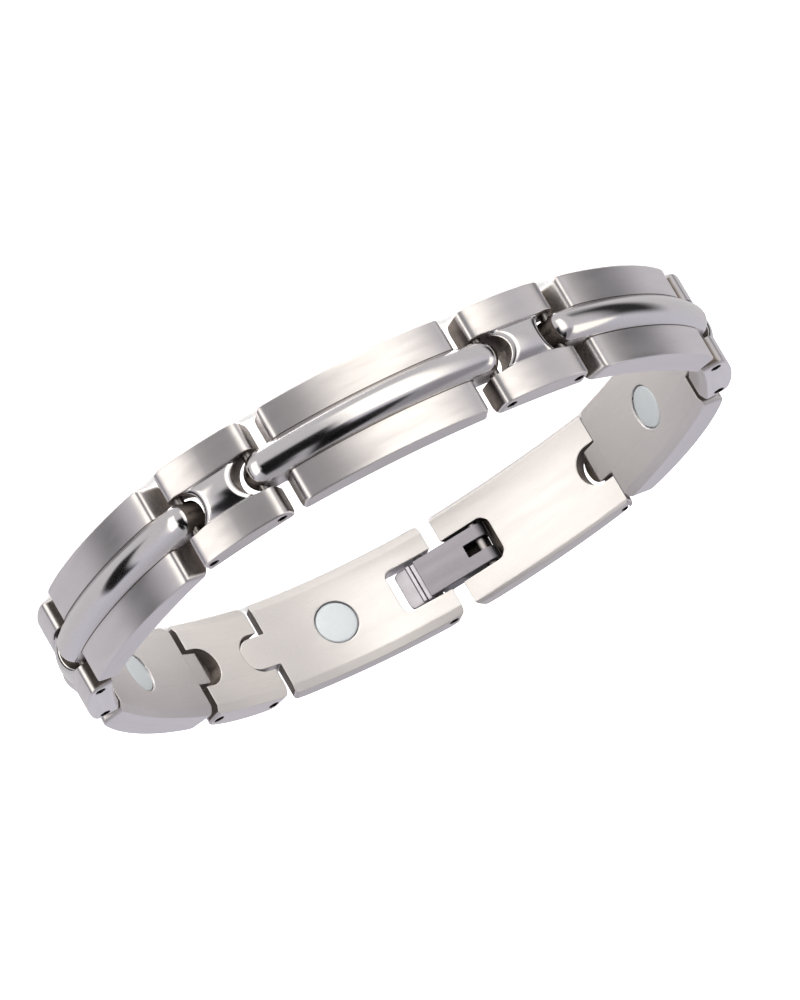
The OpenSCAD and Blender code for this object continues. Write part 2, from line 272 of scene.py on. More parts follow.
def blunt(u, soft):
    """The positive part of u, with its bend softened over the length soft."""
    return (u + np.hypot(u, soft)) / 2


def arc_out(x, y, top, height, radius):
    """Height over an arc along the band: distance to the arc's centre, less its radius."""
    return np.hypot(x - top, y - (height - radius)) - radius


def arc_y(x, top, height, radius):
    """Height of that arc at x."""
    return height - radius + np.sqrt(radius ** 2 - (x - top) ** 2)


def wrist_side(p, band, seat):
    """The wrist side: outside an arc whose radius grows towards both edges, as a soft bevel."""
    x, y, z = p
    soft = 0.06
    rise = band.bevel_depth / band.bevel_width
    flare = rise * blunt(np.abs(z) - band.half_w + band.bevel_width, soft)
    return flare - arc_out(x, y, *seat)


def slab(p, band, ends, outer, seat):
    """A plain link: under the outer arc, inside a plan with rounded corners and cut by the wrist
    side. The outer face bends down softly at both ends. ends is (x0, x1, corner)."""
    x, y, z = p
    x0, x1, corner = ends
    span = np.abs(x - (x0 + x1) / 2) - (x1 - x0) / 2
    side = np.abs(z) - band.half_w
    body = softly(arc_out(x, y, *outer), span, corner)
    body = both(body, both(span, side, band.plan_corner), band.edge)
    return both(body, wrist_side(p, band, seat), WRIST_EDGE)


def pin_hole(p, at_x, radius, at_y=0.0):
    """A round hole across the band: distance from its axis, less its radius."""
    return np.hypot(p[0] - at_x, p[1] - at_y) - radius


def tongue_notch(p, at_x, side, radius):
    """A round notch, open towards side: a half disc about the pin, carried on past the end."""
    return np.hypot(np.maximum((at_x - p[0]) * side, 0), p[2]) - radius


def magnet_pocket(p, band, at_x, seat_y):
    """A round blind pocket in the wrist side: inside a cylinder and below its end."""
    wall = np.hypot(p[0] - at_x, p[2]) - band.magnet_r - band.magnet_play
    return both(wall, p[1] - seat_y - band.magnet_h - 2 * band.magnet_play, HOLE_EDGE)


def polished_bar(p, link):
    """The polished bar: a tube bent to an arc, with ends that bend down softly, cut to a plan with
    straight sides and round ends. Distance is from the tube's centre line, less its radius."""
    x, y, z = p
    half = link.bar_w / 2
    tube = (half ** 2 + link.bar_arch ** 2) / (2 * link.bar_arch)
    ring = link.bar_radius - tube
    straight = link.pitch / 2 - half + link.tongue_reach
    u = np.abs(x - link.pitch / 2)
    v = y - link.bar_crown + link.bar_radius
    above = np.hypot(u - blunt(u - straight, 1.0), v) - ring
    dome = np.sqrt(np.maximum(above, 0) ** 2 + z ** 2 + blunt(u - straight, 1.2) ** 2) - tube
    plan = np.hypot(np.maximum(u - straight, 0), z) - half
    toe = 0.2
    under = either(link.nose_low - y, u - straight - toe)
    return both(both(dome, plan, 0.2), under, WRIST_EDGE)


def long_link(p, band, link, outer, seat):
    """A long link: the panels' slab and the bar, less the magnet's pocket and the pin holes."""
    ends = (link.panel_inset, link.pitch - link.panel_inset, link.corner)
    bar = both(polished_bar(p, link), wrist_side(p, band, seat), WRIST_EDGE)
    body = either(slab(p, band, ends, outer, seat), bar, FINE_EDGE)
    body = both(body, -magnet_pocket(p, band, link.pitch / 2, link.seat), FINE_EDGE)
    for at_x in (0, link.pitch):
        body = both(body, -pin_hole(p, at_x, band.pin_hole_r))
    return body


def saddle(p, link):
    """The saddle's rail: a tube bent about the centre of the arms' arc, cut to a width that runs a
    little into the arms. Distance is from the tube's bent centre line, less its radius."""
    x, y, z = p
    half = link.saddle_w / 2
    tube = (half ** 2 + link.saddle_arch ** 2) / (2 * link.saddle_arch)
    ring = link.radius + link.saddle_rise - tube
    above = np.hypot(x - link.pitch / 2, y - link.crown + link.radius) - ring
    sunk = 0.1
    rail = both(np.hypot(np.maximum(above, 0), z) - tube, np.abs(z) - half - sunk)
    short_by = 0.2
    return both(rail, np.abs(x - link.pitch / 2) - link.pitch / 2 + short_by)


def short_link(p, band, link, outer, seat):
    """A short link: two arms and the saddle's rail between them, less two round notches and the pin
    holes. On the saddle the notches have broad round rims, which end in an edge at the wall."""
    _, y, z = p
    ends = (-link.reach, link.pitch + link.reach, link.corner)
    bed = 0.5
    between = both(np.abs(z) - link.saddle_w / 2, bed - y)
    arms = both(slab(p, band, ends, outer, seat), -between, CUT_EDGE)
    body = either(arms, both(saddle(p, link), wrist_side(p, band, seat), WRIST_EDGE), FINE_EDGE)
    share = np.clip((link.saddle_w / 2 + 0.15 - np.abs(z)) / 0.3, 0, 1) * np.clip(y, 0, 1)
    rim_in = 0.3 * share
    for at_x, side in ((0, 1), (link.pitch, -1)):
        wall = -tongue_notch(p, at_x, -side, link.notch_r)
        body = both(both(body, wall - rim_in, CUT_EDGE + link.rim * share), wall, FINE_EDGE)
        body = both(body, -pin_hole(p, at_x, band.pin_hole_r), HOLE_EDGE)
    return body


def catch_link(p, band, clasp, link, outer, seat):
    """The catch link: a slab with a plain tongue at the link pin, less the mouth at the clasp pin, the
    magnet's pocket and the pin holes."""
    x, y, z = p
    body = slab(p, band, (-END_REACH, clasp.catch_pitch - link.panel_inset, END_CORNER), outer, seat)
    half = link.bar_w / 2
    nose = clasp.catch_pitch + link.tongue_reach - half
    plan = np.hypot(np.maximum(x - nose, 0), z) - half
    tongue = both(both(plan, clasp.catch_top - x), arc_out(x, y, *outer), 0.2)
    body = either(body, both(tongue, wrist_side(p, band, seat), WRIST_EDGE))
    mouth = both(x - clasp.catch_mouth, np.abs(z) - clasp.slot_w / 2, clasp.mouth_corner)
    body = both(body, -mouth, CUT_EDGE)
    magnet_x = clasp.catch_pitch - clasp.magnet_inset
    body = both(body, -magnet_pocket(p, band, magnet_x, clasp.catch_seat), FINE_EDGE)
    for at_x in (0, clasp.catch_pitch):
        body = both(body, -pin_hole(p, at_x, band.pin_hole_r), HOLE_EDGE)
    return body


def lever_slot(p, clasp):
    """The lever's slot: a prism with two cut corners below the lip, all of the tail past the lip's
    tip, and room for the lever's eye."""
    x, y, z = p
    back = clasp.hinge_along - clasp.slot_back - x
    side = np.abs(z) - clasp.slot_w / 2
    slot = both(back, side)
    slot = both(slot, (back + side + clasp.slot_chamfer) / math.sqrt(2), 0.2)
    slot = both(slot, y - clasp.lip_y)
    tail = both(clasp.hinge_along - clasp.lip_back - x, side)
    eye = both(pin_hole(p, clasp.hinge_along, clasp.eye_r + clasp.lip_play, -clasp.hinge_drop), side)
    return either(either(slot, tail), eye)


def hinge_link(p, band, clasp, short, outer, seat):
    """The hinge link: a slab less a round notch at the link pin, the lever's slot, the pin hole and
    the hinge pin's blind hole."""
    body = slab(p, band, (-END_REACH, clasp.hinge_along + clasp.hinge_tail, END_CORNER), outer, seat)
    body = both(body, -tongue_notch(p, 0, -1, short.notch_r), CUT_EDGE + 0.2 * np.clip(p[1], 0, 1))
    body = both(body, -lever_slot(p, clasp), CUT_EDGE)
    body = both(body, -pin_hole(p, 0, band.pin_hole_r), HOLE_EDGE)
    bore = both(pin_hole(p, clasp.hinge_along, band.hinge_hole_r, -clasp.hinge_drop),
                np.abs(p[2]) - (clasp.slot_w + BLIND_BORE) / 2)
    return both(body, -bore)


def outline(x, y, points):
    """Signed distance from a closed outline of straight lines: the least distance to any of its
    lines, negative where a ray from the point crosses it an odd number of times."""
    least = np.full(np.shape(x), np.inf)
    inside = np.zeros(np.shape(x), bool)
    for (ax, ay), (bx, by) in zip(points, points[1:] + points[:1]):
        ex, ey = bx - ax, by - ay
        t = np.clip(((x - ax) * ex + (y - ay) * ey) / (ex * ex + ey * ey), 0, 1)
        least = np.minimum(least, np.hypot(x - ax - t * ex, y - ay - t * ey))
        if ay != by:
            inside ^= ((ay > y) != (by > y)) & (x < ax + (y - ay) / ey * ex)
    return np.where(inside, -least, least)


def lever(p, clasp):
    """The lever: a side outline of plate, eye, jaw, finger ridge and thumb tab, as wide as the
    lever, less the catch pin's seat, the way the jaw swings clear of it, the hinge pin's hole and
    the gap between the prongs."""
    x, y, z = p
    end = clasp.plate_len
    base = -clasp.eye_r
    groove = 0.7
    points = [
        (0, base), (end, base), (end, base + groove), (end + 0.5, base + groove),
        (end + 0.6, -0.8), (end + 0.95, -0.8), (end + 1.1, -0.4), (end + TAB, -0.25),
        (end + TAB, 0.45), (end + 1.25, 0.6), (end + 1.1, 1.45), (end + 0.1, 1.5),
        (end - 1.8, 1.4), (end - 2.4, clasp.eye_r - 0.02), (0, clasp.eye_r - 0.02),
    ]
    side = either(outline(x, y, points), np.hypot(x, y) - clasp.eye_r)
    seat_r = 0.58
    half_swing = math.radians(15)
    reach = math.hypot(clasp.catch_along, clasp.catch_deep)
    turn = np.arctan2(y, x) - math.atan2(clasp.catch_deep, clasp.catch_along)
    seat = np.hypot(x - clasp.catch_along, y - clasp.catch_deep) - seat_r
    swing = both(np.abs(np.hypot(x, y) - reach) - seat_r,
                 np.hypot(x, y) * (np.abs(turn - half_swing) - half_swing))
    side = both(side, -either(seat, swing), 0.06)
    width = np.abs(z) - clasp.lever_w / 2
    body = both(side, width, 0.14)
    body = both(body, both(x - end - TAB, width, 0.7), 0.1)
    pin_r = 0.65
    body = both(body, -(np.hypot(x, y) - pin_r), 0.05)
    gap = both(both(np.abs(z) - clasp.prong_gap / 2, x - clasp.prong_len, 0.05), y - clasp.web_y)
    return both(body, -gap, 0.08)


# From a distance to a closed skin

GRID_MARGIN = 0.3      # room that a grid leaves round a link, in millimetres


def graded(spots, fine, coarse, reach=0.35):
    """Grid lines from the first spot to the last. Their spacing is fine within reach of each spot
    between those two, and grows with the distance from it up to coarse."""
    growth = 0.3
    line = np.linspace(spots[0], spots[-1], 6001)
    away = np.min(np.abs(line[:, None] - np.asarray(spots[1:-1], float)[None, :]), axis=1)
    step = np.clip(fine + growth * (away - reach), fine, coarse)
    count = np.concatenate([[0], np.cumsum((1 / step[1:] + 1 / step[:-1]) / 2 * np.diff(line))])
    return np.interp(np.linspace(0, count[-1], int(math.ceil(count[-1])) + 1), count, line)


def across(band, *spots):
    """Spots across the band, on both sides of its middle: those given, where the rounding of its
    edges begins, the edges and the ends of the grid."""
    rounding = 0.7
    half = [*spots, band.half_w - rounding, band.half_w, band.half_w + GRID_MARGIN]
    return [-z for z in reversed(half)] + half


def heights(xs, outer, seat, spots, fine, coarse):
    """Heights of the grid lines at each x. They follow the wrist side and the outer face, which are
    at 0 and 1, and stay straight in between. spots are heights in that measure."""
    low, high = arc_y(xs, *seat), arc_y(xs, *outer)
    thick = float(np.mean(high - low))
    ts = graded(spots, fine / thick, coarse / thick, 0.3 / thick)
    return low[:, None] + (high - low)[:, None] * ts[None, :]


def slope(field, at):
    """Gradient of a distance at an array of points, by central differences."""
    step = 1e-3
    out = np.empty_like(at)
    for axis in range(3):
        ahead, back = at.copy(), at.copy()
        ahead[:, axis] += step
        back[:, axis] -= step
        out[:, axis] = (field(ahead.T) - field(back.T)) / (2 * step)
    return out


def skin(field, xs, ys, zs):
    """The closed surface on which a distance is nought. These links are blocks cut by notches, bores
    and saddles, which no single grid of two parameters can wrap, so the grid here fills space: each
    of its cells that the surface passes gets one point, the mean of the places where the surface
    crosses the cell's edges, and each crossed edge joins its four cells' points by a face. The
    points then move along the distance's slope onto the surface, and the slope there is the normal.
    ys holds the heights of the grid lines at each x."""
    shape = (len(xs), ys.shape[1], len(zs))
    grid = [np.broadcast_to(xs[:, None, None], shape), np.broadcast_to(ys[:, :, None], shape),
            np.broadcast_to(zs[None, None, :], shape)]
    value = field(grid)
    inside = value < 0
    cells = tuple(n - 1 for n in shape)
    total = int(np.prod(cells))
    count = np.zeros(total)
    sums = np.zeros((3, total))
    edges = []
    for axis in range(3):
        start = [slice(None)] * 3
        end = [slice(None)] * 3
        start[axis], end[axis] = slice(None, -1), slice(1, None)
        start, end = tuple(start), tuple(end)
        at = np.argwhere(inside[start] != inside[end])
        here = tuple(at.T)
        a, b = value[start][here], value[end][here]
        t = a / (a - b)
        places = [g[start][here] * (1 - t) + g[end][here] * t for g in grid]
        one, two = (axis + 1) % 3, (axis + 2) % 3
        round_edge = []
        for back_one, back_two in ((0, 0), (1, 0), (1, 1), (0, 1)):
            cell = at.copy()
            cell[:, one] -= back_one
            cell[:, two] -= back_two
            flat = np.ravel_multi_index(tuple(cell.T), cells)
            round_edge.append(flat)
            count += np.bincount(flat, minlength=total)
            for k in range(3):
                sums[k] += np.bincount(flat, weights=places[k], minlength=total)
        faces = np.stack(round_edge, axis=1)
        outward = inside[start][here]
        edges.append(np.where(outward[:, None], faces, faces[:, ::-1]))
    used = np.nonzero(count)[0]
    renumber = np.full(total, -1)
    renumber[used] = np.arange(len(used))
    points = (sums[:, used] / count[used]).T
    faces = renumber[np.concatenate(edges)]
    farthest = 0.12
    for _ in range(3):
        way = slope(field, points)
        length = np.maximum((way ** 2).sum(1), 0.05)
        step = -field(points.T)[:, None] * way / length[:, None]
        far = np.linalg.norm(step, axis=1, keepdims=True)
        points = points + step * np.minimum(1, farthest / np.maximum(far, 1e-9))
    normals = slope(field, points)
    normals /= np.maximum(np.linalg.norm(normals, axis=1, keepdims=True), 1e-9)
    return points, (faces,), normals


def turned(profile, at_x, sides=72):
    """A solid turned about the y axis through at_x: each point (radius, height) of the profile is
    carried round in equal steps, and one point on the axis closes each end."""
    angles = np.linspace(0, 2 * math.pi, sides, endpoint=False)
    radii, ys = np.array(profile).T
    rings = np.stack([at_x + np.outer(radii, np.cos(angles)), np.outer(ys, np.ones(sides)),
                      np.outer(radii, np.sin(angles))], axis=-1).reshape(-1, 3)
    poles = [(at_x, ys[0], 0), (at_x, ys[-1], 0)]
    around = np.arange(sides)
    ahead = (around + 1) % sides
    rows = np.arange(len(radii) - 1)[:, None] * sides
    quads = np.stack([rows + around, rows + sides + around, rows + sides + ahead, rows + ahead],
                     axis=-1).reshape(-1, 4)
    last = len(rings) - sides
    pole = np.full(sides, len(rings))
    caps = np.vstack([np.stack([around, ahead, pole], axis=1),
                      np.stack([last + ahead, last + around, pole + 1], axis=1)])
    return np.vstack([rings, poles]), (quads, caps), None


def put(name, at, turn, made, marks, slot):
    """A finished piece of points, faces and normals, turned to its place, in metres. It has three
    attributes: link, the place on the piece; brush, the way it is brushed; and finish, three measures that
    are above nought where the steel is polished, satin, or unpolished and painted dark as shade."""
    points, faces, normals = made
    c, s = math.cos(turn), math.sin(turn)
    turning = np.array([[c, -s, 0], [s, c, 0], [0, 0, 1]])
    middle = (CAD_BOX[0].z + CAD_BOX[1].z) / 2 / MM
    world = points @ turning.T + np.array([at[0], at[1], middle])
    corners = np.concatenate([kind.ravel() for kind in faces])
    sides = np.concatenate([np.full(len(kind), kind.shape[1]) for kind in faces])
    mesh = bpy.data.meshes.new(name)
    mesh.vertices.add(len(world))
    mesh.vertices.foreach_set("co", (world * MM).astype(np.float32).ravel())
    mesh.loops.add(len(corners))
    mesh.loops.foreach_set("vertex_index", corners.astype(np.int32))
    mesh.polygons.add(len(sides))
    mesh.polygons.foreach_set("loop_start", (np.cumsum(sides) - sides).astype(np.int32))
    mesh.polygons.foreach_set("loop_total", sides.astype(np.int32))
    mesh.update(calc_edges=True)
    if mesh.validate(clean_customdata=False):
        raise RuntimeError(f"{name}: the mesh isn't sound")
    measures = np.empty_like(points)
    for column, mark in enumerate(marks):
        measures[:, column] = mark
    for key, values in (("link", points * MM), ("brush", np.tile(turning[:, 0], (len(world), 1))),
                        ("finish", measures)):
        layer = mesh.attributes.new(key, "FLOAT_VECTOR", "POINT")
        layer.data.foreach_set("vector", values.astype(np.float32).ravel())
    mesh.polygons.foreach_set("use_smooth", np.ones(len(sides), bool))
    if normals is not None:
        mesh.normals_split_custom_set_from_vertices((normals @ turning.T).tolist())
    mesh.materials.append(slot)
    piece = bpy.data.objects.new(name, mesh)
    bpy.context.scene.collection.objects.link(piece)
    return piece


# Materials

def material(name):
    """A new material with an empty node tree, and the tree."""
    made = bpy.data.materials.new(name)
    made.use_nodes = True
    made.node_tree.nodes.clear()
    return made, made.node_tree


def add(tree, kind, settings=None, inputs=None, links=None):
    """Adds a node. settings are its own properties, inputs the values of its sockets, and links the
    sockets that its sockets take their values from, or nodes, for their first output."""
    node = tree.nodes.new(kind)
    for key, value in (settings or {}).items():
        setattr(node, key, value)
    for key, value in (inputs or {}).items():
        node.inputs[key].default_value = value
    for key, source in (links or {}).items():
        if isinstance(source, bpy.types.Node):
            source = source.outputs[0]
        tree.links.new(source, node.inputs[key])
    return node


def rgba(tint, strength=1.0):
    """A colour with full alpha, at a given strength."""
    return (*(c * strength for c in tint), 1.0)


# Channels of the finish that a mesh carries. The third marks unpolished steel, painted dark brown as shade
# in the notches and narrow gaps; a measure of it above one is the wall of a hole, painted near black as
# shade, and measures of such walls are multiplied by AS_HOLE.
POLISHED, SATIN, RAW_AND_SHADE, HOLE = range(4)
AS_HOLE = 20
BLEND = 0.03           # half the width of the change from one finish to another


def ranged(tree, noise, low, high):
    """The values of a noise, which mostly lie between 0.3 and 0.7, carried to low and high."""
    return add(tree, "ShaderNodeMapRange",
               inputs={"From Min": 0.3, "From Max": 0.7, "To Min": low, "To Max": high},
               links={"Value": noise})


def mixed(tree, kind, share, under, over):
    """Two colours, or two values, of which the second covers the first by a share."""
    first, out = {"FLOAT": (2, 0), "RGBA": (6, 2)}[kind]
    return add(tree, "ShaderNodeMix", {"data_type": kind},
               links={"Factor": share, first: under, first + 1: over}).outputs[out]


def steel(name, anisotropic, *layers):
    """Stainless steel in one or more finishes. Each layer is (channel, tint, roughness, spread,
    pattern, depth_mm): the first is the ground, and each other one covers it where that channel of
    the mesh's finish is above nought, or above one for HOLE. The pattern is scratch, fine lines along
    the band that spread the light across it, or grain, which has no direction. It shades the tint
    and stands depth_mm high. A wide cloud varies the roughness by spread."""
    made, tree = material(name)
    patterns = {"scratch": (4.8, 0.08, 0.08), "grain": (0.2, 0.2, 0.2), "cloud": (9, 0.9, 0.9)}
    on_link = add(tree, "ShaderNodeAttribute", {"attribute_name": "link"})
    for key, steps_mm in patterns.items():
        scale = [1 / (step * MM) for step in steps_mm]
        stretched = add(tree, "ShaderNodeMapping", inputs={"Scale": scale},
                        links={"Vector": on_link.outputs["Vector"]})
        patterns[key] = add(tree, "ShaderNodeTexNoise",
                            inputs={"Scale": 1.0, "Detail": 2.0, "Roughness": 0.55},
                            links={"Vector": stretched})
    marked = add(tree, "ShaderNodeAttribute", {"attribute_name": "finish"})
    channels = add(tree, "ShaderNodeSeparateXYZ", links={"Vector": marked.outputs["Vector"]})
    so_far = None
    for channel, tint, roughness, spread, pattern, depth_mm in layers:
        shade = ranged(tree, patterns[pattern], 0.95, 1.0)
        tinted = add(tree, "ShaderNodeMix", {"data_type": "RGBA", "blend_type": "MULTIPLY"},
                     {"Factor": 1.0, 6: rgba(tint)}, {7: shade})
        rough = ranged(tree, patterns["cloud"], max(roughness - spread, 0.02), roughness + spread)
        layer = (tinted.outputs[2], rough, ranged(tree, patterns[pattern], 0, depth_mm))
        if channel is None:
            so_far = layer
            continue
        level = 1 if channel == HOLE else 0
        share = add(tree, "ShaderNodeMapRange",
                    inputs={"From Min": level - BLEND, "From Max": level + BLEND},
                    links={"Value": channels.outputs[min(channel, RAW_AND_SHADE)]})
        so_far = [mixed(tree, kind, share, under, over)
                  for kind, under, over in zip(("RGBA", "FLOAT", "FLOAT"), so_far, layer)]
    bump = add(tree, "ShaderNodeBump", inputs={"Strength": 1.0, "Distance": MM},
               links={"Height": so_far[2]})
    brush = add(tree, "ShaderNodeAttribute", {"attribute_name": "brush"})
    shader = add(tree, "ShaderNodeBsdfPrincipled",
                 inputs={"Metallic": 1.0, "Anisotropic": anisotropic, "Anisotropic Rotation": 0.25},
                 links={"Base Color": so_far[0], "Roughness": so_far[1], "Normal": bump,
                        "Tangent": brush.outputs["Vector"]})
    add(tree, "ShaderNodeOutputMaterial", links={"Surface": shader})
    return made


def plain_metal(name, tint, roughness, grain_mm, depth_mm, spread=0.02, metallic=1.0):
    """Metal without a brushing direction. A fine grain, grain_mm across, varies the gloss a little."""
    made, tree = material(name)
    coords = add(tree, "ShaderNodeTexCoord")
    grain = add(tree, "ShaderNodeTexNoise",
                inputs={"Scale": 1 / (grain_mm * MM), "Detail": 2.0, "Roughness": 0.5},
                links={"Vector": coords.outputs["Object"]})
    rough = ranged(tree, grain, max(roughness - spread, 0.02), roughness + spread)
    bump = add(tree, "ShaderNodeBump", inputs={"Strength": 1.0, "Distance": depth_mm * MM},
               links={"Height": grain})
    shader = add(tree, "ShaderNodeBsdfPrincipled",
                 inputs={"Metallic": metallic, "Base Color": rgba(tint)},
                 links={"Roughness": rough, "Normal": bump})
    add(tree, "ShaderNodeOutputMaterial", links={"Surface": shader})
    return made


def finish(key):
    """Each finish by name, made once."""
    if key in bpy.data.materials:
        return bpy.data.materials[key]
    tints = bpy.context.scene.bracelet_colours
    # The links: satin-brushed outside, softer and paler on the wrist side, mirror-polished on bars and
    # saddles, rougher and painted dark brown as shade in the notches, on the end walls and along both sides
    # of the bars, and painted near black as shade in the slots and holes
    if key == "brushed_link_steel":
        return steel(key, 0.95,
                     (None, tints.brushed, 0.4, 0.04, "scratch", 0.0004),
                     (SATIN, tints.satin, 0.5, 0.02, "scratch", 0.0004),
                     (POLISHED, tints.polished, 0.12, 0.015, "grain", 0.0001),
                     (RAW_AND_SHADE, tints.raw_and_shade, 0.5, 0.06, "grain", 0.01),
                     (HOLE, tints.hole, 0.5, 0.06, "grain", 0.01))
    # The lever, blasted fine and a little darker than the links. Its finger ridge and thumb tab are a
    # little glossier and tinted lighter as a painted highlight, and the gap between its prongs is painted
    # near black as shade
    if key == "blasted_lever_steel":
        return steel(key, 0.0,
                     (None, tints.lever, 0.45, 0.04, "grain", 0.002),
                     (SATIN, tints.ridge, 0.4, 0.04, "grain", 0.002),
                     (HOLE, tints.hole, 0.5, 0.06, "grain", 0.01))
    # The pins, ground and buffed
    if key == "ground_pin_steel":
        return plain_metal(key, tints.pin, 0.35, 0.25, 0.0001)
    # Nickel plating over the pressed magnets: a cool, pearly white
    if key == "nickel_plating":
        return plain_metal(key, tints.magnet, 0.5, 0.3, 0.002, 0.05, 0.7)
    raise RuntimeError(f"no finish named {key}")


# Operators. They mark where the steel is polished, satin, or unpolished and painted dark as shade, by
# measures that are above nought there. These compare places on the piece, in millimetres, and parts of the
# normal with a limit.

WRISTWARD = 0.6        # a face looks to the wrist where its normal's y is below minus this
ENDWARD = 0.95         # and along the band where its normal's x is beyond this, either way


def numbered(kind, count):
    """The names of nodes that are numbered from one."""
    return [f"{kind}_{number}" for number in range(1, count + 1)]


def all_of(*measures):
    """The least of several measures, which is above nought where all of them are."""
    return np.minimum.reduce(measures)


def hole_walls(p, nz, band, *at_x):
    """Above nought on the walls of the pin holes, which are painted near black as shade: near a pin's axis,
    and not facing along it.
    """
    from_pin = np.minimum.reduce([np.hypot(p[0] - at, p[1]) for at in at_x])
    return AS_HOLE * all_of(band.pin_hole_r + 0.06 - from_pin, 0.7 - np.abs(nz))


class PieceOperator:
    """What the operators of the new pieces share"""
    bl_options = {"REGISTER", "UNDO"}

    def stand(self, nodes, made, marks, key="brushed_link_steel", slot="link_steel", body=BAND,
              carriers=None):
        """Stands a mesh at the place of each carrier, which is the node itself if none is given. It rides
        on its body in place of its CAD node, in the finish named by key."""
        for node, carrier in zip(nodes, carriers or nodes):
            piece = put(node + "_dressed", *place(carrier), made, marks, finish(key))
            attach(piece, body)
            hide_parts(node)
        return {"FINISHED"}


class BRACELET_OT_long_links(PieceOperator, bpy.types.Operator):
    """Makes the five long links: brushed panels with a polished bar between them"""
    bl_idname = "bracelet.long_links"
    bl_label = "Long links"

    def execute(self, context):
        band, link = sizes("band", "long_link")
        mid, side, end = link.pitch / 2, link.bar_w / 2, link.panel_inset
        outer = (mid, link.panel_crown, link.panel_radius)
        seat = (mid, link.seat, link.seat_radius)
        pocket = band.magnet_r + band.magnet_play
        xs = graded([-link.tongue_reach - GRID_MARGIN, -0.9, 0.3, end, end + 0.5, mid - pocket,
                     mid + pocket, link.pitch - end - 0.5, link.pitch - end, link.pitch - 0.3,
                     link.pitch + 0.9, link.pitch + link.tongue_reach + GRID_MARGIN], 0.085, 0.42)
        ys = heights(xs, outer, seat, [-0.14, 0, 0.12, 0.9, 1.0, 1.42], 0.1, 0.35)
        zs = graded(across(band, side, pocket), 0.085, 0.34, 0.2)
        made = skin(lambda p: long_link(p, band, link, outer, seat), xs, ys, zs)
        (x, y, z), (nx, ny, nz) = made[0].T, made[2].T
        past_end = np.abs(x - mid) - mid + end
        polished = all_of(side + 0.01 - np.abs(z), ny - 0.35, y - link.polish_low)
        # Painted shade: the end walls, the tongues' sides and a thin seam on both sides of the bar are
        # tinted dark brown for the shade in the notches and the crease, and the pin holes near black
        end_walls = all_of(np.abs(nx) - ENDWARD, past_end + 0.1, 0.3 - past_end)
        tongues = all_of(past_end - 0.05, 0.35 - ny, ny + WRISTWARD, 0.9 - np.abs(nz))
        seam_shade = all_of(0.07 - np.abs(np.abs(z) - side), ny + 0.3, -past_end)
        raw_and_shade = np.maximum.reduce([end_walls, tongues, seam_shade, hole_walls((x, y), nz, band, 0, link.pitch)])
        return self.stand(numbered("long_link", LONG_LINKS), made, (polished, -WRISTWARD - ny, raw_and_shade))


class BRACELET_OT_short_links(PieceOperator, bpy.types.Operator):
    """Makes the five short links: brushed arms, round notches and a polished saddle"""
    bl_idname = "bracelet.short_links"
    bl_label = "Short links"

    def execute(self, context):
        band, link = sizes("band", "short_link")
        mid, side, reach = link.pitch / 2, link.saddle_w / 2, link.reach
        outer = (mid, link.crown, link.radius)
        seat = (mid, link.seat, link.seat_radius)
        xs = graded([-reach - GRID_MARGIN, -reach, 0, link.notch_r, link.pitch - link.notch_r,
                     link.pitch, link.pitch + reach, link.pitch + reach + GRID_MARGIN], 0.09, 0.16)
        ys = heights(xs, outer, seat, [-0.1, 0, 0.14, 0.86, 1.0, 1.08, 1.18], 0.08, 0.2)
        zs = graded(across(band, side), 0.09, 0.22, 0.25)
        made = skin(lambda p: short_link(p, band, link, outer, seat), xs, ys, zs)
        (x, y, z), (nx, ny, nz) = made[0].T, made[2].T
        near_x = mid - np.abs(x - mid)
        notch = tongue_notch((near_x, y, z), 0, -1, link.notch_r)
        polished = all_of(side - 0.01 - np.abs(z), ny - 0.25, y)
        # Painted shade: the notch walls and the end walls are tinted dark brown, the pin holes near black
        walls = all_of(0.35 - notch, 0.25 - ny, ny + WRISTWARD)
        end_walls = all_of(np.abs(nx) - ENDWARD, -0.9 - near_x)
        raw_and_shade = np.maximum.reduce([walls, end_walls, hole_walls((x, y), nz, band, 0, link.pitch)])
        return self.stand(numbered("short_link", SHORT_LINKS), made, (polished, -WRISTWARD - ny, raw_and_shade))


class BRACELET_OT_catch_link(PieceOperator, bpy.types.Operator):
    """Makes the catch link of the clasp"""
    bl_idname = "bracelet.catch_link"
    bl_label = "Catch link"

    def execute(self, context):
        band, link, clasp = sizes("band", "long_link", "clasp")
        pitch = clasp.catch_pitch
        outer = (clasp.catch_top, clasp.catch_crown, clasp.catch_radius)
        seat = (clasp.catch_top, clasp.catch_seat, clasp.catch_seat_radius)
        pocket = band.magnet_r + band.magnet_play
        magnet = pitch - clasp.magnet_inset
        end = pitch - link.panel_inset
        xs = graded([-END_REACH - GRID_MARGIN, -END_REACH, 0, clasp.catch_mouth, magnet - pocket,
                     magnet + pocket, end, pitch + 0.3, pitch + link.tongue_reach + GRID_MARGIN],
                    0.09, 0.36)
        ys = heights(xs, outer, seat, [-0.2, 0, 0.16, 0.86, 1.0, 1.14], 0.09, 0.3)
        zs = graded(across(band, link.bar_w / 2, clasp.slot_w / 2), 0.09, 0.34, 0.2)
        made = skin(lambda p: catch_link(p, band, clasp, link, outer, seat), xs, ys, zs)
        (x, y, _), (nx, ny, nz) = made[0].T, made[2].T
        # Painted shade: the end walls are tinted dark brown, the pin holes near black
        end_walls = all_of(np.abs(nx) - ENDWARD, np.maximum(-0.9 - x, x - end + 0.3))
        raw_and_shade = np.maximum(end_walls, hole_walls((x, y), nz, band, 0, pitch))
        return self.stand(["end_link_catch"], made, (-1, -WRISTWARD - ny, raw_and_shade))


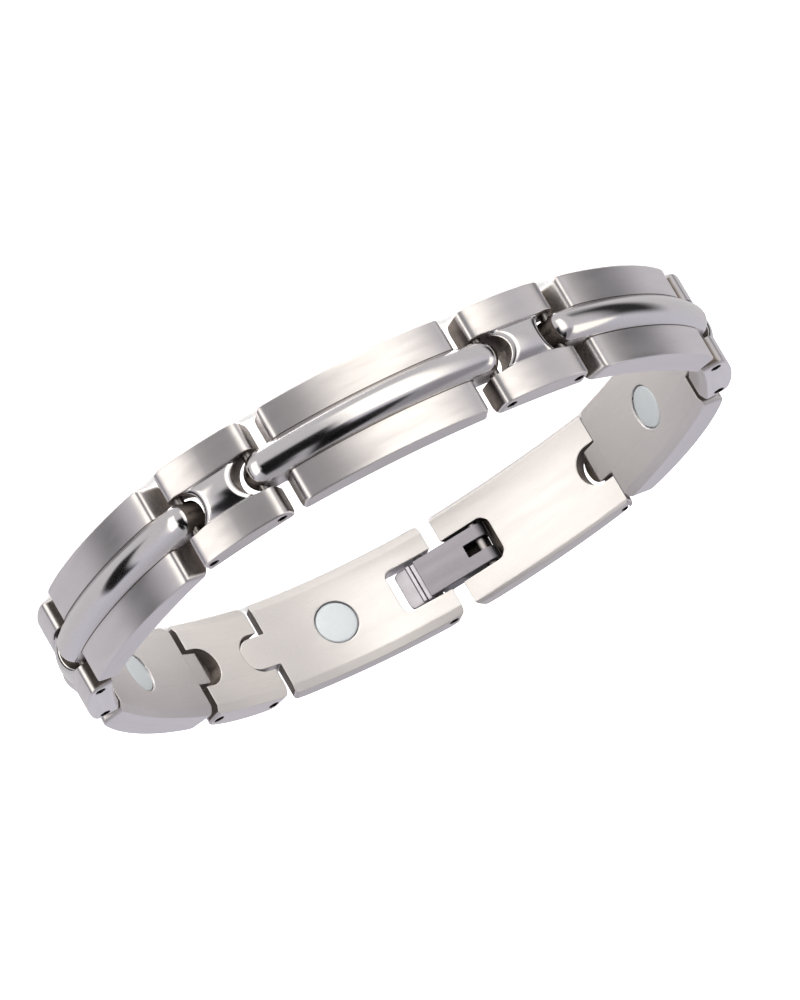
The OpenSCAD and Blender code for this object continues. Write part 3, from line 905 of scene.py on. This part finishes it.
class BRACELET_OT_hinge_link(PieceOperator, bpy.types.Operator):
    """Makes the hinge link of the clasp"""
    bl_idname = "bracelet.hinge_link"
    bl_label = "Hinge link"

    def execute(self, context):
        band, short, clasp = sizes("band", "short_link", "clasp")
        band.bevel_width = clasp.hinge_bevel      # narrower than the other links have it
        pin, tail = clasp.hinge_along, clasp.hinge_along + clasp.hinge_tail
        mid = (tail - END_REACH) / 2
        outer = (mid, clasp.hinge_crown, clasp.hinge_radius)
        seat = (mid, clasp.hinge_seat, HINGE_SEAT_RADIUS)
        xs = graded([-END_REACH - GRID_MARGIN, -END_REACH, 0, short.notch_r, pin - clasp.slot_back,
                     pin - 0.6, pin + 0.6, tail, tail + GRID_MARGIN], 0.09, 0.36)
        ys = heights(xs, outer, seat, [-0.16, 0, 0.16, 0.84, 1.0, 1.12], 0.09, 0.25)
        zs = graded(across(band, short.notch_r, clasp.slot_w / 2), 0.09, 0.34, 0.2)
        made = skin(lambda p: hinge_link(p, band, clasp, short, outer, seat), xs, ys, zs)
        p = made[0].T
        (x, y, _), (nx, ny, nz) = p, made[2].T
        slot = lever_slot(p, clasp)
        # Painted shade: the slot's walls and the pin hole are tinted near black, the notch and end walls
        # dark brown
        slot_walls = AS_HOLE * all_of(0.1 - slot, np.maximum(0.6 - np.abs(ny), 0.05 - slot))
        notch_walls = all_of(0.15 - tongue_notch(p, 0, -1, short.notch_r), 0.5 - np.abs(ny))
        end_walls = all_of(np.abs(nx) - ENDWARD, np.maximum(-0.9 - x, x - tail + 0.3))
        raw_and_shade = np.maximum.reduce([notch_walls, slot_walls, end_walls, hole_walls((x, y), nz, band, 0)])
        return self.stand(["end_link_hinge"], made, (-1, -WRISTWARD - ny, raw_and_shade))


class BRACELET_OT_lever(PieceOperator, bpy.types.Operator):
    """Makes the clasp's lever"""
    bl_idname = "bracelet.lever"
    bl_label = "Lever"

    def execute(self, context):
        clasp = sizes("clasp")[0]
        end = clasp.plate_len + TAB
        half, gap, eye = clasp.lever_w / 2, clasp.prong_gap / 2, clasp.eye_r
        xs = graded([-eye - 0.2, -eye, clasp.prong_len, clasp.plate_len, clasp.plate_len + 1, end,
                     end + 0.2], 0.05, 0.14)
        ys = np.tile(graded([-eye - 0.2, -eye, -0.8, 0.45, 1.4, 1.7], 0.05, 0.1), (len(xs), 1))
        zs = graded([-half - 0.2, -half, -gap, gap, half, half + 0.2], 0.05, 0.2, 0.2)
        made = skin(lambda p: lever(p, clasp), xs, ys, zs)
        x, y, z = made[0].T
        # Painted shade: near black in the gap between the prongs. Past the plate, the ridge and tab are
        # tinted lighter as a painted highlight
        between = all_of(gap + 0.05 - np.abs(z), clasp.prong_len + 0.08 - x, y + eye - 0.12)
        marks = (-1, x - clasp.plate_len - 0.1, AS_HOLE * between)
        return self.stand(["clasp_lever"], made, marks, "blasted_lever_steel", "clasp_steel", CLASP)


class BRACELET_OT_magnets(PieceOperator, bpy.types.Operator):
    """Makes the six plated magnets in the wrist side"""
    bl_idname = "bracelet.magnets"
    bl_label = "Magnets"

    def execute(self, context):
        band, link, clasp = sizes("band", "long_link", "clasp")
        names = numbered("magnet", LONG_LINKS + 1)
        rim, hub = 0.22, 0.02
        turn = np.radians(np.linspace(0, 90, 7))
        for nodes, carriers, at_x, seat_y in (
                (names[:-1], numbered("long_link", LONG_LINKS), link.pitch / 2, link.seat),
                (names[-1:], ["end_link_catch"], clasp.catch_pitch - clasp.magnet_inset,
                 clasp.catch_seat)):
            low = seat_y + band.magnet_play
            high = low + band.magnet_h
            lower = [(band.magnet_r - rim + rim * math.sin(a), low + rim - rim * math.cos(a)) for a in turn]
            upper = [(r, low + high - y) for r, y in reversed(lower)]
            profile = [(hub, low), (band.magnet_r / 2, low)] + lower + upper + [(hub, high)]
            self.stand(nodes, turned(profile, at_x), (-1, -1, -1), "nickel_plating", "magnet",
                       carriers=carriers)
        return {"FINISHED"}


class BRACELET_OT_pins(bpy.types.Operator):
    """Polishes the link pins, the catch pin and the hinge pin of the frame"""
    bl_idname = "bracelet.pins"
    bl_label = "Pins"

    def execute(self, context):
        for name in numbered("link_pin", LINK_PINS) + ["catch_pin", "hinge_pin"]:
            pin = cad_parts[name]
            pin.data.materials.clear()
            pin.data.materials.append(finish("ground_pin_steel"))
        return {"FINISHED"}


# Camera, floor and light

CAMERA_TILT = 15.52       # degrees above the floor
CAMERA_ROLL = 149.86      # turn about its own line of sight, in degrees
CAMERA_AWAY = 1.04549     # metres from the point it looks at
CAMERA_AIM = (-0.00111, -0.01769, 0.0108)
CAMERA_LENS = 376.8       # millimetres, on a frame whose long side is 36 mm


def add_camera():
    """The camera, where the photograph's was: in front of the bracelet, a little above the floor and
    rolled about its line of sight."""
    tilt, roll = math.radians(CAMERA_TILT), math.radians(CAMERA_ROLL)
    back = Vector((0, -math.cos(tilt), math.sin(tilt)))
    right = Vector((1, 0, 0))
    up = back.cross(right)
    side = right * math.cos(roll) + up * math.sin(roll)
    head = up * math.cos(roll) - right * math.sin(roll)
    data = bpy.data.cameras.new("camera")
    data.lens = CAMERA_LENS
    data.sensor_width = 36
    data.clip_start, data.clip_end = 0.05, 20
    camera = bpy.data.objects.new("camera", data)
    spot = Vector(CAMERA_AIM) + back * CAMERA_AWAY
    camera.matrix_world = Matrix((
        (side.x, head.x, back.x, spot.x), (side.y, head.y, back.y, spot.y),
        (side.z, head.z, back.z, spot.z), (0, 0, 0, 1)))
    bpy.context.scene.collection.objects.link(camera)
    bpy.context.scene.camera = camera


# The studio's boards, painted over each other in this order. Azimuth 0 is towards the camera and
# 90 is +X, elevation is above the floor, all in degrees. A board is half as wide and high as its
# halves say, to the middle of its blurred rims, whose widths follow.
BOARDS = (
    # colour, strength, azimuth, half, rim, elevation, half, rim
    ("#f2eef6", 0.36, -60, 16, 14, 46, 26, 14),       # dim wall at the upper left
    ("#ffffff", 0.004, -24, 20, 9, 58, 26, 9),        # unlit ceiling over the key light
    ("#fffaf0", 2.2, -34, 16, 24, -17, 34, 10),       # key light, left of the camera
    ("#ffffff", 0.01, 5, 17, 8, 16, 26, 12),          # the camera and the dark room behind it
    ("#ffffff", 0.01, -10, 8, 6, 30, 12, 8),          # and between it and the unlit ceiling
    ("#fffaf0", 2.1, 46, 17, 10, -12, 32, 8),         # second light, right of the camera
    ("#ffffff", 0.01, 18, 14, 10, 36, 22, 12),        # unlit corner over it
    ("#ffffff", 0.01, 89, 8, 6, -8, 28, 8),           # black strip at the right
    ("#fffaf0", 1.6, -90, 10, 6, 26, 15, 6),          # window at the left
    ("#ffffff", 0.03, -108, 13, 16, -18, 24, 20),     # dark card at the left
)
# The dim room between the boards: colour, strength and the elevation at which it is so
AMBIENT = (("#f3f0f1", 0.78, -90), ("#f1eeef", 0.78, -15), ("#edeaf4", 0.82, 20), ("#f2eff2", 0.55, 60))


def painted(tree, share, under, code, strength):
    """A colour of some strength, laid over another by a share."""
    return add(tree, "ShaderNodeMix", {"data_type": "RGBA"}, {7: rgba(linear(code), strength)},
               {"Factor": share, 6: under}).outputs[2]


def studio():
    """The light: a dim studio with boards round the object for what shines, and an even white sky
    for the floor. Each board's share is one inside and falls to nought over its rims, by azimuth
    times by elevation."""
    world = bpy.data.worlds.new("studio")
    world.use_nodes = True
    tree = world.node_tree
    tree.nodes.clear()
    coords = add(tree, "ShaderNodeTexCoord")
    x, y, z = add(tree, "ShaderNodeSeparateXYZ", links={"Vector": coords.outputs["Generated"]}).outputs
    front = add(tree, "ShaderNodeMath", {"operation": "MULTIPLY"}, {1: -1.0}, {0: y})
    around = add(tree, "ShaderNodeMath", {"operation": "ARCTAN2"}, links={0: x, 1: front})
    rise = add(tree, "ShaderNodeMath", {"operation": "ARCSINE"}, links={0: z})
    angles = [add(tree, "ShaderNodeMath", {"operation": "DEGREES"}, links={0: angle})
              for angle in (around, rise)]
    paint = add(tree, "ShaderNodeRGB").outputs[0]
    paint.default_value = rgba(linear(AMBIENT[0][0]), AMBIENT[0][1])
    for (_, _, low), (code, strength, high) in zip(AMBIENT, AMBIENT[1:]):
        share = add(tree, "ShaderNodeMapRange", inputs={"From Min": low, "From Max": high},
                    links={"Value": angles[1]})
        paint = painted(tree, share, paint, code, strength)
    for code, strength, *extent in BOARDS:
        shares = {}
        for axis, angle in enumerate(angles):
            middle, half, rim = extent[3 * axis:3 * axis + 3]
            off = add(tree, "ShaderNodeMath", {"operation": "SUBTRACT"}, {1: middle}, {0: angle})
            wrapped = add(tree, "ShaderNodeMath", {"operation": "WRAP"}, {1: 180, 2: -180}, {0: off})
            away = add(tree, "ShaderNodeMath", {"operation": "ABSOLUTE"}, links={0: wrapped})
            shares[axis] = add(tree, "ShaderNodeMapRange", {"interpolation_type": "SMOOTHSTEP"},
                               {"From Min": half + rim / 2, "From Max": half - rim / 2}, {"Value": away})
        share = add(tree, "ShaderNodeMath", {"operation": "MULTIPLY"}, links=shares)
        paint = painted(tree, share, paint, code, strength)
    boards = add(tree, "ShaderNodeBackground", links={"Color": paint})
    sky = add(tree, "ShaderNodeBackground", inputs={"Color": (1, 1, 1, 1), "Strength": 2.6})
    path = add(tree, "ShaderNodeLightPath")
    light = add(tree, "ShaderNodeMixShader",
                links={"Fac": path.outputs["Is Glossy Ray"], 1: sky, 2: boards})
    add(tree, "ShaderNodeOutputWorld", links={"Surface": light})
    return world


def stage_piece(name, points, faces, made):
    """A piece of the stage, which isn't part of the object."""
    mesh = bpy.data.meshes.new(name)
    mesh.from_pydata(points, [], faces)
    mesh.materials.append(made)
    piece = bpy.data.objects.new(name, mesh)
    bpy.context.scene.collection.objects.link(piece)
    return piece


def table_glow():
    """The light that the white table throws back up inside the loop: a ribbon under the floor, along
    the loop's inner faces, seen only where they reflect it. It is brightest towards the camera."""
    sides = 96
    angles = np.linspace(0, 2 * math.pi, sides, endpoint=False)
    wide, deep, low, high = 31, 28, -110, -0.3
    rows = [np.stack([wide * np.cos(angles), deep * np.sin(angles), np.full(sides, z)], axis=1) * MM
            for z in (low, high)]
    around = np.arange(sides)
    ahead = (around + 1) % sides
    quads = np.stack([around, ahead, sides + ahead, sides + around], axis=1)
    made, tree = material("table_glow")
    coords = add(tree, "ShaderNodeTexCoord")
    way = add(tree, "ShaderNodeSeparateXYZ", links={"Vector": coords.outputs["Object"]})
    strength = add(tree, "ShaderNodeMapRange", {"interpolation_type": "SMOOTHSTEP"},
                   {"From Min": -24 * MM, "From Max": -2 * MM, "To Min": 3.7, "To Max": 1.5},
                   {"Value": way.outputs["Y"]})
    light = add(tree, "ShaderNodeEmission", inputs={"Color": rgba(linear("#fffbf7"))},
                links={"Strength": strength})
    add(tree, "ShaderNodeOutputMaterial", links={"Surface": light})
    made.cycles.emission_sampling = "NONE"
    stage_piece("table_glow", np.vstack(rows).tolist(), quads.tolist(), made)


def white_table():
    """The pale floor, a little below the band's edges. Steel doesn't mirror it, since it would hide
    the glow."""
    made, tree = material("white_table")
    white = add(tree, "ShaderNodeBsdfDiffuse", inputs={"Color": (0.9, 0.9, 0.9, 1)})
    add(tree, "ShaderNodeOutputMaterial", links={"Surface": white})
    wide, low = 3.0, -5e-5
    corners = [(-wide, -wide, low), (wide, -wide, low), (wide, wide, low), (-wide, wide, low)]
    stage_piece("floor", corners, [(0, 1, 2, 3)], made).visible_glossy = False


class BRACELET_OT_stage(bpy.types.Operator):
    """Sets up the pale floor, the soft light and the camera"""
    bl_idname = "bracelet.stage"
    bl_label = "Stage"

    def execute(self, context):
        add_camera()
        white_table()
        table_glow()
        context.scene.world = studio()
        context.scene.world.cycles.sampling_method = "NONE"
        context.scene.view_settings.view_transform = "Standard"
        return {"FINISHED"}


OPERATORS = (
    BRACELET_OT_long_links, BRACELET_OT_short_links, BRACELET_OT_catch_link,
    BRACELET_OT_hinge_link, BRACELET_OT_lever, BRACELET_OT_magnets, BRACELET_OT_pins,
    BRACELET_OT_stage,
)
GROUPS = {
    "bracelet_band": BandSizes, "bracelet_long_link": LongLinkSizes,
    "bracelet_short_link": ShortLinkSizes, "bracelet_clasp": ClaspSizes,
    "bracelet_colours": SteelColours,
}


class BRACELET_PT_panel(bpy.types.Panel):
    """The bracelet's sizes, colours and steps"""
    bl_idname = "BRACELET_PT_panel"
    bl_label = "Steel link bracelet"
    bl_space_type = "VIEW_3D"
    bl_region_type = "UI"
    bl_category = "Bracelet"

    def draw(self, context):
        for key, group in GROUPS.items():
            box = self.layout.box()
            box.label(text=group.__doc__)
            for name in group.__annotations__:
                box.prop(getattr(context.scene, key), name)
        for operator in OPERATORS:
            self.layout.operator(operator.bl_idname)


def register():
    """Registers the classes and hangs the groups on the scene."""
    for key, group in GROUPS.items():
        bpy.utils.register_class(group)
        setattr(bpy.types.Scene, key, PointerProperty(type=group))
    for made in OPERATORS + (BRACELET_PT_panel,):
        bpy.utils.register_class(made)


def unregister():
    """Takes all of it away again."""
    for made in reversed(OPERATORS + (BRACELET_PT_panel,)):
        bpy.utils.unregister_class(made)
    for key, group in GROUPS.items():
        delattr(bpy.types.Scene, key)
        bpy.utils.unregister_class(group)


def main():
    """Makes every piece in order."""
    register()
    for operator in OPERATORS:
        getattr(bpy.ops.bracelet, operator.bl_idname.split(".")[1])()


if __name__ == "__main__":
    main()
